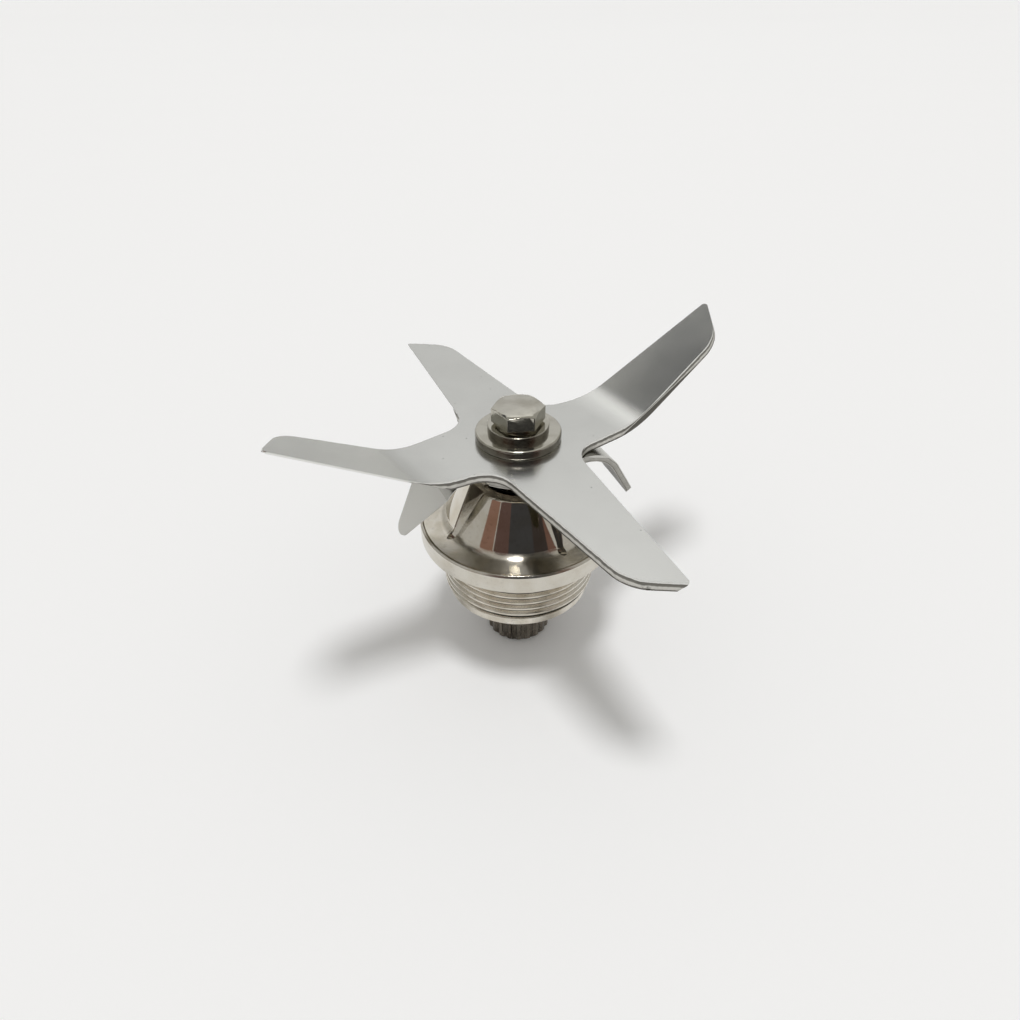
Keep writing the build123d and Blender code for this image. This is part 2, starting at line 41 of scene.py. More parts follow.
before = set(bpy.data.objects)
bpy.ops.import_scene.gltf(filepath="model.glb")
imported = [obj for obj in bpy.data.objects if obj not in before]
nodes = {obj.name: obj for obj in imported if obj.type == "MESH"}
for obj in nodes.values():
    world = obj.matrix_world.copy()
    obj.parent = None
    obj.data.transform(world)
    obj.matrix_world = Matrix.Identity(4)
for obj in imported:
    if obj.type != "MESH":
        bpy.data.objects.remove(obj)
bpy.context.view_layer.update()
scene = bpy.context.scene
scene.view_settings.view_transform = "Standard"


def linear(code):
    """Linear RGBA of an sRGB hex colour."""
    parts = [int(code[i:i + 2], 16) / 255 for i in (1, 3, 5)]
    return [p / 12.92 if p <= 0.04045 else ((p + 0.055) / 1.055) ** 2.4 for p in parts] + [1.0]


def add(tree, kind, inputs=None, stops=(), **settings):
    """A node with its settings, and its inputs set to values or linked to sockets.

    A colour ramp's stops are (position, hex colour or grey level).
    """
    made = tree.nodes.new(kind)
    for name, value in settings.items():
        setattr(made, name, value)
    for name, value in (inputs or {}).items():
        if isinstance(value, bpy.types.NodeSocket):
            tree.links.new(value, made.inputs[name])
        else:
            made.inputs[name].default_value = value
    if stops:
        band = made.color_ramp.elements
        while len(band) < len(stops):
            band.new(0.5)
        for element, (position, colour) in zip(band, stops):
            element.position = position
            element.color = linear(colour) if isinstance(colour, str) else (colour, colour, colour, 1)
    return made


def bare_tree(owner):
    """The node tree of a material, world or lamp, emptied."""
    owner.use_nodes = True
    owner.node_tree.nodes.clear()
    return owner.node_tree


def satin_sheet(name, face, shaded_underside, edge_bands_with_painted_light):
    """Cold-rolled stainless sheet, tumbled: soft mirror with a fine pebble and a few pits.

    The piece's own sheet_depth tells the sheared edge, a bright rolled rim, whose brightness is a painted
    highlight, and then a dull break, and the underside, which is painted darker: shade for the shadowed
    floor that it mirrors.
    """
    made = bpy.data.materials.new(name)
    tree = bare_tree(made)
    place = add(tree, "ShaderNodeTexCoord").outputs["Object"]
    # Pebble left by tumbling, drawn at 0.35 mm, a few times coarser than it is, so that it shows
    pebble = add(tree, "ShaderNodeTexNoise", {"Vector": place, "Scale": 1 / (0.35 * MM), "Detail": 2.0})
    bump = add(tree, "ShaderNodeBump", {
        "Height": pebble.outputs["Fac"], "Strength": 0.26, "Distance": 0.03 * MM})
    # Cloudy handling marks, about 9 mm across
    cloud = add(tree, "ShaderNodeTexNoise", {"Vector": place, "Scale": 1 / (9 * MM), "Detail": 4.0})
    tint = add(tree, "ShaderNodeValToRGB", {"Fac": cloud.outputs["Fac"]}, stops=((0.35, 0.965), (0.62, 1.0)))
    sheen = add(tree, "ShaderNodeMapRange", {
        "Value": cloud.outputs["Fac"], "From Min": 0.3, "From Max": 0.7, "To Min": 0.19, "To Max": 0.22})
    # Pits 0.25 mm wide, scattered about 3 mm apart
    pit = add(tree, "ShaderNodeTexVoronoi", {"Vector": place, "Scale": 1 / (3 * MM)})
    pitted = add(tree, "ShaderNodeValToRGB", {"Fac": pit.outputs["Distance"]},
                 stops=((0.03, 0.0), (0.06, 1.0)))
    # The break wanders along the edge, about 1.4 mm from crest to crest, and is scuffed in places
    depth = add(tree, "ShaderNodeAttribute", attribute_name="sheet_depth").outputs["Fac"]
    wander = add(tree, "ShaderNodeTexNoise", {"Vector": place, "Scale": 1 / (1.4 * MM), "Detail": 3.0})
    torn = add(tree, "ShaderNodeMath", {0: wander.outputs["Fac"], 1: 0.2}, operation="MULTIPLY")
    level = add(tree, "ShaderNodeMath", {0: depth, 1: torn.outputs[0]}, operation="ADD")
    # The edge's bands hold painted light: a painted highlight on a bright rolled rim, painted shade on dark
    # borders and on the underside
    edge_tone_with_painted_light = add(tree, "ShaderNodeValToRGB", {"Fac": level.outputs[0]},
                  stops=((0.0, face), (0.20, face), *edge_bands_with_painted_light, (1.0, shaded_underside)))
    broken = add(tree, "ShaderNodeValToRGB", {"Fac": level.outputs[0]},
                 stops=((0.24, 0.0), (0.34, 0.2), (0.96, 0.2), (1.0, 0.0)))
    scuff = add(tree, "ShaderNodeValToRGB", {"Fac": wander.outputs["Fac"]}, stops=((0.40, 0.3), (0.54, 1.0)))
    scuffed = add(tree, "ShaderNodeMix", {
        "Factor": broken.outputs["Color"], FIRST: linear("#ffffff"), SECOND: scuff.outputs["Color"]},
        data_type="RGBA")
    edged = add(tree, "ShaderNodeMix", {
        "Factor": 1.0, FIRST: edge_tone_with_painted_light.outputs["Color"], SECOND: scuffed.outputs[MIXED]},
        data_type="RGBA", blend_type="MULTIPLY")
    soiled = add(tree, "ShaderNodeMix", {
        "Factor": 1.0, FIRST: edged.outputs[MIXED], SECOND: tint.outputs["Color"]},
        data_type="RGBA", blend_type="MULTIPLY")
    dotted = add(tree, "ShaderNodeMix", {
        "Factor": 0.55, FIRST: soiled.outputs[MIXED], SECOND: pitted.outputs["Color"]},
        data_type="RGBA", blend_type="MULTIPLY")
    rough = add(tree, "ShaderNodeMath", {0: sheen.outputs[0], 1: broken.outputs["Color"]}, operation="ADD")
    # Painted shade: the tint dims the underside's reflection, most where it is seen along its face
    underside_painted_shade = add(tree, "ShaderNodeValToRGB", {"Fac": level.outputs[0]},
                 stops=((0.9, "#ececea"), (1.0, "#807f7c")))
    shader = add(tree, "ShaderNodeBsdfPrincipled", {
        "Base Color": dotted.outputs[MIXED], "Metallic": 1.0, "Roughness": rough.outputs[0],
        "Normal": bump.outputs[0], "Specular Tint": underside_painted_shade.outputs["Color"]})
    add(tree, "ShaderNodeOutputMaterial", {"Surface": shader.outputs[0]})
    return made


def ground_steel(name, dull, bright):
    """Cutting bevel ground on a wheel: bright, with a fine grain of scratches."""
    made = bpy.data.materials.new(name)
    tree = bare_tree(made)
    place = add(tree, "ShaderNodeTexCoord").outputs["Object"]
    # Scratches drawn at 0.3 mm, coarser than the wheel's grit, so that they show
    scratch = add(tree, "ShaderNodeTexNoise", {"Vector": place, "Scale": 1 / (0.3 * MM), "Detail": 3.0})
    shade = add(tree, "ShaderNodeValToRGB", {"Fac": scratch.outputs["Fac"]},
                stops=((0.3, dull), (0.7, bright)))
    bump = add(tree, "ShaderNodeBump", {
        "Height": scratch.outputs["Fac"], "Strength": 0.25, "Distance": 0.03 * MM})
    shader = add(tree, "ShaderNodeBsdfPrincipled", {
        "Base Color": shade.outputs["Color"], "Metallic": 1.0, "Roughness": 0.26, "Normal": bump.outputs[0]})
    add(tree, "ShaderNodeOutputMaterial", {"Surface": shader.outputs[0]})
    return made


def turned_metal(name, colour, worn, roughness, ring=0.25, speck=0.9, lathe=0.12, fleck=0.8, brushed=0.0,
                 cut=None):
    """Metal turned on a lathe, then plated or left bare: fine rings round the axis and small specks.

    The widths of a ring and a speck are in millimetres; lathe and fleck say how much they show. A
    brushed face stretches each highlight out from the axis. A cut, given by its root and crest radius
    and its lowest height in millimetres, is darkened along its root: painted shade in the groove.
    """
    made = bpy.data.materials.new(name)
    tree = bare_tree(made)
    place = add(tree, "ShaderNodeTexCoord").outputs["Object"]
    apart = add(tree, "ShaderNodeSeparateXYZ", {"Vector": place})
    flat = add(tree, "ShaderNodeCombineXYZ", {"X": apart.outputs["X"], "Y": apart.outputs["Y"]})
    reach = add(tree, "ShaderNodeVectorMath", {0: flat.outputs[0]}, operation="LENGTH")
    # Feed marks follow radius plus height, so they ring both the flat and the upright faces. They are
    # drawn coarser than a real feed of about 0.1 mm, so that they show.
    along = add(tree, "ShaderNodeMath", {0: reach.outputs["Value"], 1: apart.outputs["Z"]}, operation="ADD")
    feed = add(tree, "ShaderNodeMath", {0: along.outputs[0], 1: 1 / (ring * MM)}, operation="MULTIPLY")
    rings = add(tree, "ShaderNodeTexNoise", {"W": feed.outputs[0], "Scale": 1.0, "Detail": 2.0},
                noise_dimensions="1D")
    bump = add(tree, "ShaderNodeBump", {
        "Height": rings.outputs["Fac"], "Strength": lathe, "Distance": 0.02 * MM})
    # Worn patches about 4 mm across
    cloud = add(tree, "ShaderNodeTexNoise", {"Vector": place, "Scale": 1 / (4 * MM), "Detail": 5.0})
    shade = add(tree, "ShaderNodeValToRGB", {"Fac": cloud.outputs["Fac"]},
                stops=((0.32, worn), (0.6, colour)))
    speckle = add(tree, "ShaderNodeTexNoise", {"Vector": place, "Scale": 1 / (speck * MM), "Detail": 6.0})
    specks = add(tree, "ShaderNodeValToRGB", {"Fac": speckle.outputs["Fac"]},
                 stops=((0.30, fleck), (0.42, 1.0)))
    sheen = add(tree, "ShaderNodeMapRange", {
        "Value": speckle.outputs["Fac"], "From Min": 0.3, "From Max": 0.7,
        "To Min": roughness * 0.9, "To Max": roughness * 1.12})
    tone = add(tree, "ShaderNodeMix", {
        "Factor": 1.0, FIRST: shade.outputs["Color"], SECOND: specks.outputs["Color"]},
        data_type="RGBA", blend_type="MULTIPLY")
    if cut:
        root, crest, foot = cut
        # Painted shade: the colour darkens along the thread's root
        clear = add(tree, "ShaderNodeMapRange", {
            "Value": reach.outputs["Value"], "From Min": (root - 0.05) * MM, "From Max": crest * MM})
        root_shade = add(tree, "ShaderNodeValToRGB", {"Fac": clear.outputs[0]}, stops=(
            (0.03, "#ffffff"), (0.05, "#4a453d"), (0.12, "#4a453d"), (0.34, "#ffffff")))
        above = add(tree, "ShaderNodeMapRange", {
            "Value": apart.outputs["Z"], "From Min": foot * MM, "From Max": (foot + 0.3) * MM})
        tone = add(tree, "ShaderNodeMix", {
            "Factor": above.outputs[0], FIRST: tone.outputs[MIXED], SECOND: root_shade.outputs["Color"]},
            data_type="RGBA", blend_type="MULTIPLY")
    finish = {"Base Color": tone.outputs[MIXED], "Metallic": 1.0, "Roughness": sheen.outputs[0],
              "Normal": bump.outputs[0], "Anisotropic": brushed}
    if brushed:
        outward = add(tree, "ShaderNodeVectorMath", {0: flat.outputs[0]}, operation="NORMALIZE")
        finish["Tangent"] = outward.outputs["Vector"]
    shader = add(tree, "ShaderNodeBsdfPrincipled", finish)
    add(tree, "ShaderNodeOutputMaterial", {"Surface": shader.outputs[0]})
    return made


def seal_rubber(name):
    """Moulded nitrile rubber: matt black with a faint mottled bloom."""
    made = bpy.data.materials.new(name)
    tree = bare_tree(made)
    place = add(tree, "ShaderNodeTexCoord").outputs["Object"]
    # Bloom in patches of about 1.2 mm
    bloom = add(tree, "ShaderNodeTexNoise", {"Vector": place, "Scale": 1 / (1.2 * MM), "Detail": 4.0})
    shade = add(tree, "ShaderNodeValToRGB", {"Fac": bloom.outputs["Fac"]},
                stops=((0.3, "#141415"), (0.7, "#2a2a2b")))
    bump = add(tree, "ShaderNodeBump", {
        "Height": bloom.outputs["Fac"], "Strength": 0.2, "Distance": 0.03 * MM})
    shader = add(tree, "ShaderNodeBsdfPrincipled", {
        "Base Color": shade.outputs["Color"], "Roughness": 0.6, "Normal": bump.outputs[0]})
    add(tree, "ShaderNodeOutputMaterial", {"Surface": shader.outputs[0]})
    return made


# Jar thread: radius of its root and crest, and the height where it starts, in millimetres
thread_root = 16.95
thread_crest = 17.75
thread_foot = 17.6

# Upper blade: soft bright sheet; its sheared edge is a pale rim, a painted highlight, then a dark break and
# a pale foot that ends in painted shade, and its underside is painted darker
blade_steel = satin_sheet("satin_stainless_sheet", face="#d2d2ce", shaded_underside="#65635e", edge_bands_with_painted_light=(
    (0.25, "#f0efec"), (0.33, "#6f6d67"), (0.58, "#7d7b75"), (0.66, "#d0cec8"), (0.92, "#c6c4be"),
    (0.97, "#65635e")))
# Lower blade: duller sheet, with painted shade along both borders of its edge and a little on its underside
lower_steel = satin_sheet("satin_stainless_thin_sheet", face="#c4c3be", shaded_underside="#b4b2ac", edge_bands_with_painted_light=(
    (0.25, "#5c5a55"), (0.34, "#aeaca6"), (0.86, "#a3a19b"), (0.94, "#4e4c48")))
edge_steel = ground_steel("ground_stainless_edge", dull="#c4c3bf", bright="#e2e1dd")
# Housing: warm nickel, a clear mirror on the cone, streaked on the faced flange, soft on the rim and
# darkened along the roots of the thread, painted shade in the grooves
nickel = turned_metal("polished_nickel_plate", "#d6d1c6", "#ccc5b6", 0.06, lathe=0.04, fleck=0.9)
faced_nickel = turned_metal("faced_nickel_plate", "#d8d3c8", "#cbc4b4", 0.21, ring=0.45, speck=1.1,
                            lathe=0.2, fleck=0.86, brushed=0.97)
rim_nickel = turned_metal("turned_nickel_rim", "#d3cfc5", "#c8c2b5", 0.2, speck=0.5, lathe=0.08, fleck=0.9)
thread_nickel = turned_metal("cut_thread_nickel_plate", "#dcd7cc", "#c4bcad", 0.2, speck=0.5, lathe=0.3,
                             cut=(thread_root, thread_crest, thread_foot))
# Bolt and washers: plain steel, fairly bright on top; the washers' steep sides take a darker copy of it,
# painted shade
bolt_steel = turned_metal("plain_bolt_steel", "#bcb9ae", "#aaa69a", 0.14, lathe=0.03, fleck=0.93)
washer_side_shade = turned_metal("shaded_washer_side", "#928e85", "#78736a", 0.22, speck=0.5, fleck=0.75)
# Shaft and spacer: bare turned steel, darker and softer than the plate
shaft_steel = turned_metal("bare_shaft_steel", "#8d867c", "#655e55", 0.28)
spacer_steel = turned_metal("turned_spacer_steel", "#9d978c", "#7a7368", 0.25)
# Inside the barrel: bright ground races and balls, yellow cages, grey sleeves, a dark oily circlip
bearing_steel = turned_metal("ground_bearing_steel", "#c8cacc", "#adb0b4", 0.12, lathe=0.04)
brass = turned_metal("machined_cage_brass", "#c9a95c", "#a98842", 0.25)
sleeve_steel = turned_metal("turned_sleeve_steel", "#aeada9", "#908e88", 0.3)
spring_steel = turned_metal("oiled_spring_steel", "#55514c", "#3b3835", 0.35)
rubber = seal_rubber("moulded_nitrile_rubber")


def merged(name, flat=0.4):
    """The CAD node's triangles as one welded mesh, joined again where they are flat, in degrees."""
    mesh = bmesh.new()
    mesh.from_mesh(nodes[name].data)
    bmesh.ops.remove_doubles(mesh, verts=mesh.verts, dist=WELD)
    bmesh.ops.dissolve_limit(mesh, angle_limit=radians(flat), verts=mesh.verts, edges=mesh.edges)
    return mesh


def piece(mesh, name, body, materials, sharp=32):
    """A new object from a bmesh that rides on a body, with its smooth faces split at sharp edges."""
    data = bpy.data.meshes.new(name)
    mesh.to_mesh(data)
    mesh.free()
    made = bpy.data.objects.new(name, data)
    scene.collection.objects.link(made)
    for coat in materials:
        data.materials.append(coat)
    data.shade_smooth()
    data.set_sharp_from_angle(angle=radians(sharp))
    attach(made, body)
    return made


def eased(mesh, width, low=35, high=125, least=0.35):
    """Marks the edges to round: those between low and high degrees whose faces aren't slivers."""
    weight = mesh.edges.layers.float.new(EDGE_WEIGHT)
    for edge in mesh.edges:
        if len(edge.link_faces) != 2:
            continue
        turn = degrees(edge.calc_face_angle())
        slim = min(f.calc_area() / max(e.calc_length() for e in f.edges) for f in edge.link_faces)
        if low < turn < high and slim > least * width:
            edge[weight] = 1.0


def round_edges(made, width, segments=2):
    """Rounds the marked edges of a piece."""
    bevel = made.modifiers.new("eased_edges", "BEVEL")
    bevel.width = width
    bevel.segments = segments
    bevel.limit_method = "WEIGHT"
    bevel.harden_normals = True
    bevel.use_clamp_overlap = False


def sheet_depth(point, azimuth, top, start, radius, tilt, thickness):
    """How far a point lies below the top face of a bent sheet, as a share of its thickness.

    Along its azimuth, both ways, the sheet is level as far as start and then turns by tilt degrees.
    """
    turn = radians(tilt)
    way = 1 if turn > 0 else -1
    out = abs(point.x * cos(radians(azimuth)) + point.y * sin(radians(azimuth))) - start
    rise = point.z - top
    if out <= 0:
        return -rise / thickness
    lean = way * radius - rise
    if out < abs(lean) * abs(tan(turn)):
        return way * (hypot(out, lean) - radius) / thickness
    end_out = radius * sin(abs(turn))
    end_rise = way * radius * (1 - cos(turn))
    return ((out - end_out) * sin(turn) - (rise - end_rise) * cos(turn)) / thickness


# A bevel ground on a blade's underside has a normal whose z is between these, and the step where it
# begins is within this reach of the axis
ground_down, ground_up = -0.95, -0.4
step_reach = 30 * MM
# A face is upright when its normal's z is below the first share, leans when its normal goes sideways
# by more than that, and looks an azimuth's way when the cosine between them is above the second
upright, same_way = 0.3, 0.93
# Shares of the sheet's depth: its middle, and close to its underside
half_deep, near_under = 0.5, 0.9
# Share of the rounding that the lower edge of a punched sheet keeps
crisp = 0.4


def blade(name, slot, coats, width, leading, least, **bend):
    """A blade with rounded edges, its sheared sides marked by depth and its ground bevels apart.

    The leading edges, whose sides face the given azimuths and their opposites, stay sharp, and so do
    the edges of faces smaller than the least area, in square millimetres. The bend is sheet_depth's.
    """
    mesh = merged(name)
    mesh.normal_update()
    eased(mesh, width)
    keen = [Vector((cos(radians(a)), sin(radians(a)), 0)) for a in leading]
    layer = mesh.verts.layers.float.new("sheet_depth")
    for vert in mesh.verts:
        vert[layer] = min(max(sheet_depth(vert.co, **bend), 0.0), 1.0)
    # The grinding wheel leaves the flat arms gently, so the step where a bevel begins is drawn in
    steps = [face for face in mesh.faces if len(face.verts) == 3 and abs(face.normal.z) < upright
             and face.calc_center_median().xy.length < step_reach]
    for face in steps:
        lower = [vert for vert in face.verts if vert[layer] > near_under]
        inner = [vert for vert in lower
                 if any(ground_down < f.normal.z < ground_up for f in vert.link_faces)]
        if len(lower) == 2 and len(inner) == 1:
            for vert in lower:
                vert.co = inner[0].co
    bmesh.ops.remove_doubles(mesh, verts=mesh.verts, dist=WELD)
    mesh.normal_update()
    weight = mesh.edges.layers.float[EDGE_WEIGHT]
    for edge in mesh.edges:
        # The punch rolls the top edge over and leaves the lower one crisp
        if min(vert[layer] for vert in edge.verts) > half_deep:
            edge[weight] *= crisp
        for face in edge.link_faces:
            aside = Vector((face.normal.x, face.normal.y, 0))
            small = face.calc_area() < least * MM * MM
            leans = aside.length > upright
            if small or (leans and max(abs(aside.normalized() @ way) for way in keen) > same_way):
                edge[weight] = 0.0
    for face in mesh.faces:
        levels = [vert[layer] for vert in face.verts]
        if max(levels) - min(levels) > half_deep and face.normal.z < ground_up:
            face.material_index = 1
    made = piece(mesh, name + "_sheet", "rotor", coats)
    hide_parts(name)
    round_edges(made, width, segments=3)


upper_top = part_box("clamp_washer")[0].z
lower_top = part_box("upper_blade")[0].z
lower_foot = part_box("blade_spacer")[1].z
blade("upper_blade", "blade_steel", (blade_steel, edge_steel), width=0.38 * MM, leading=(22.5, 116.8),
      least=4.0, azimuth=37, top=upper_top, start=18.4 * MM, radius=20 * MM, tilt=30,
      thickness=upper_top - lower_top)
blade("lower_blade", "blade_steel", (lower_steel, edge_steel), width=0.2 * MM, leading=(115,),
      least=1.5, azimuth=25, top=lower_top, start=11.2 * MM, radius=9.6 * MM, tilt=-57,
      thickness=lower_top - lower_foot)


def dressed(name, body, coat, width, sharp=32, side=None, steep=0.5, foot_band=0.05 * MM):
    """A CAD node's shape with its edges rounded, in place of the node.

    A side coat, a darker copy that paints shade on a stamped ring's sides, goes on the steep faces, and the
    edges in the foot band stay crisp.
    """
    mesh = merged(name)
    mesh.normal_update()
    eased(mesh, width)
    if side:
        weight = mesh.edges.layers.float[EDGE_WEIGHT]
        foot = min(vert.co.z for vert in mesh.verts) + foot_band
        for face in mesh.faces:
            face.material_index = 1 if abs(face.normal.z) < steep else 0
        for edge in mesh.edges:
            if max(vert.co.z for vert in edge.verts) < foot:
                edge[weight] = 0.0
    made = piece(mesh, name + "_finished", body, (coat, side) if side else (coat,), sharp)
    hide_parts(name)
    round_edges(made, width)


dressed("hex_bolt", "rotor", bolt_steel, 0.07 * MM, sharp=20)
dressed("spring_washer", "rotor", bolt_steel, 0.18 * MM, side=washer_side_shade)
dressed("clamp_washer", "rotor", bolt_steel, 0.15 * MM, side=washer_side_shade)
dressed("blade_spacer", "rotor", spacer_steel, 0.3 * MM)
dressed("drive_shaft", "rotor", shaft_steel, 0.12 * MM)
dressed("retaining_ring", "jar_side", spring_steel, 0.1 * MM)

# Housing, in millimetres: radius, height and corner radius round its section, from the bore's foot
# out over the barrel, flange and cone and back down the bore. The barrel is turned to the root of the
# thread, and a fine groove runs near the flange's edge.
cone_root = Vector((17.0, 35.9))
cone_rim = Vector((10.9, 46.6))
housing_section = (
    (11.02, 15.5, 0), (16.45, 15.5, 0.15), (thread_root, 16.0, 0.15), (thread_root, 31.0, 0.3),
    (22.2, 31.0, 0.15), (22.6, 31.4, 0.15), (22.6, 35.35, 0.15), (22.2, 35.75, 0.1),
    (22.1, 35.76, 0), (21.94, 35.2, 0), (21.78, 35.77, 0), (*cone_root, 2.2), (*cone_rim, 0.8),
    (7.8, 46.6, 0.15), (7.8, 42.6, 0), (6.4, 42.6, 0),
    (6.4, 38.8, 0), (9.05, 38.8, 0), (9.05, 38.0, 0), (11.02, 38.0, 0), (11.02, 17.7, 0),
    (11.52, 17.7, 0), (11.52, 16.7, 0), (11.02, 16.7, 0),
)
# Radius just outside the bore's mouth, and where the finishes change: foot of the polished cone, foot
# and reach of the faced flange, and the radius inside which the barrel lies
mouth_reach = 7.9
polish_foot = 36.9
face_foot = 35.4
face_reach = 22.15
barrel_reach = 17.4
# Rows of the mesh are fine over the foot of the cone, where the flutes end, and wider above it
fine_step = 0.12
fine_rise = 1.6
wide_step = 0.6
# Radius of a row on the cone's top face, and how far inside the flutes' floors the last one lies
top_ring = 9.8
mouth_gap = 0.02

# Flutes: straight tapered slots down the cone, deep at the top and along one wall, that end in a pocket
flute_azimuths = (-148, -58, 32, 122)
flute_least_height = 35.6
flute_top_depth = 1.5
flute_foot_depth = 0.7
flute_foot_half = 0.75
flute_top_half = 2.75
flute_end_radius = 0.95
floor_slope = tan(radians(19))
wall_draft = 0.3
slant = (cone_root - cone_rim).length
flute_run = 1.2 * slant
flute_lean = atan2(cone_root.x - cone_rim.x, cone_rim.y - cone_root.y)
flute_lean += atan2(flute_top_depth - flute_foot_depth, slant)
flute_foot = cone_root - Vector((cos(flute_lean), sin(flute_lean))) * flute_foot_depth
# Where the flute's floor comes out of the cone's top face
flute_mouth = flute_foot.x - (cone_rim.y - flute_foot.y) * tan(flute_lean)
# The lips of the flutes are rounded above their pockets, where the faces turn by more than this
lip_foot = 37.2
lip_turn = 50
lip_rounding = 0.12


def flute_half(along):
    """Half width of a flute at a distance along its floor from its foot."""
    taper = flute_foot_half + (flute_top_half - flute_foot_half) * along / flute_run
    end = sqrt(max(flute_end_radius ** 2 - along ** 2, 0.0))
    return max(taper, end) if along >= 0 else end


def flute_at(reach, height, rounds=20, slack=1e-6):
    """Half angle of a flute where it crosses a circle round the housing, and its depth there."""
    angle = 0.0
    for _ in range(rounds):
        out = reach * cos(angle) - flute_foot.x
        rise = height - flute_foot.y
        half = flute_half(rise * cos(flute_lean) - out * sin(flute_lean))
        angle = asin(min(half / reach, 1.0))
    depth = out * cos(flute_lean) + rise * sin(flute_lean)
    return (angle, depth) if angle > 0 and depth > -slack else (0.0, 0.0)


def rounded(corners, steps=6):
    """Points round a closed section whose corners are (x, y, radius)."""
    points = []
    for before, here, after in zip(corners[-1:] + corners[:-1], corners, corners[1:] + corners[:1]):
        spot = Vector(here[:2])
        if not here[2]:
            points.append(spot)
            continue
        back = (Vector(before[:2]) - spot).normalized()
        onward = (Vector(after[:2]) - spot).normalized()
        half = back.angle(onward) / 2
        middle = spot + (back + onward).normalized() * here[2] / sin(half)
        first = spot + back * here[2] / tan(half) - middle
        last = spot + onward * here[2] / tan(half) - middle
        for step in range(steps + 1):
            points.append(middle + first.lerp(last, step / steps).normalized() * here[2])
    return points


def housing_rows():
    """Circles round the housing as (radius, height), close together where the flutes are."""
    rows = []
    points = rounded(housing_section)
    for here, after in zip(points, points[1:] + points[:1]):
        fluted = min(here.y, after.y) > flute_least_height and max(here.x, after.x) > mouth_reach
        if fluted and here.y == after.y == cone_rim.y:
            # The top face has rows where the flutes' corners and floors come out of it
            corner = hypot(flute_mouth, flute_half(
                (here.y - flute_foot.y) * cos(flute_lean) + (flute_foot.x - flute_mouth) * sin(flute_lean)))
            reaches = (top_ring, corner, flute_mouth - mouth_gap)
            rows += [here] + [Vector((reach, here.y)) for reach in reaches]
            continue
        step = fine_step if here.y < cone_root.y + fine_rise else wide_step
        parts = max(1, round((after - here).length / step)) if fluted else 1
        rows += [here.lerp(after, i / parts) for i in range(parts)]
    return rows


def housing_coat(reach, height):
    """Which finish a band of the housing has: polished cone, faced flange, rim, or bore and barrel."""
    if height > polish_foot and reach > mouth_reach:
        return 0
    if height > face_foot and mouth_reach < reach < face_reach:
        return 1
    return 2 if reach > barrel_reach else 3


def housing_shell(columns=30, same_spot=1e-4):
    """The housing as one closed mesh: lobes between the flutes, and each flute's walls and floor."""
    mesh = bmesh.new()
    rows = housing_rows()

    def strip(points, coat):
        spots = [p for i, p in enumerate(points) if (p - points[i - 1]).length > same_spot]
        if len(spots) > 2:
            mesh.faces.new([mesh.verts.new(p * MM) for p in spots]).material_index = coat

    for azimuth in flute_azimuths:
        table = []
        heading = radians(azimuth)
        inward = Vector((cos(heading) * cos(flute_lean), sin(heading) * cos(flute_lean), sin(flute_lean)))
        side = Vector((-sin(heading), cos(heading), 0))
        for reach, height in rows:
            fluted = height > flute_least_height and reach > mouth_reach
            angle, depth = flute_at(reach, height) if fluted else (0.0, 0.0)
            start = heading + angle
            sweep = radians(360 / len(flute_azimuths)) - 2 * angle
            turns = [start + sweep * j / columns for j in range(columns + 1)]
            lobe = [Vector((reach * cos(turn), reach * sin(turn), height)) for turn in turns]
            near = Vector((reach * cos(start - 2 * angle), reach * sin(start - 2 * angle), height))
            half = reach * sin(angle)
            shallow = max(depth - (half + flute_foot_half) * floor_slope, 0.0)
            deep = depth + (half - flute_foot_half) * floor_slope if angle else 0.0
            near_floor = near - inward * shallow
            table.append((lobe, near, near_floor, lobe[0] - inward * deep - side * deep * wall_draft))
        for i, (reach, height) in enumerate(rows):
            after = (i + 1) % len(rows)
            coat = housing_coat((reach + rows[after].x) / 2, (height + rows[after].y) / 2)
            lobe, near, near_floor, far_floor = table[i]
            lobe_2, near_2, near_floor_2, far_floor_2 = table[after]
            for j in range(columns):
                strip((lobe[j], lobe[j + 1], lobe_2[j + 1], lobe_2[j]), coat)
            strip((near, near_floor, near_floor_2, near_2), 0)
            strip((near_floor, far_floor, far_floor_2, near_floor_2), 0)
            strip((far_floor, lobe[0], lobe_2[0], far_floor_2), 0)
    bmesh.ops.remove_doubles(mesh, verts=mesh.verts, dist=WELD)
    bmesh.ops.recalc_face_normals(mesh, faces=mesh.faces)
    return mesh


housing_mesh = housing_shell()
lip_weight = housing_mesh.edges.layers.float.new(EDGE_WEIGHT)
for edge in housing_mesh.edges:
    low = min(vert.co.z for vert in edge.verts)
    if low > lip_foot * MM and len(edge.link_faces) == 2 and edge.calc_face_angle() > radians(lip_turn):
        edge[lip_weight] = 1.0
housing_body = piece(housing_mesh, "housing_body", "jar_side",
                     (nickel, faced_nickel, rim_nickel, thread_nickel))
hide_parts("housing")
round_edges(housing_body, lip_rounding * MM)


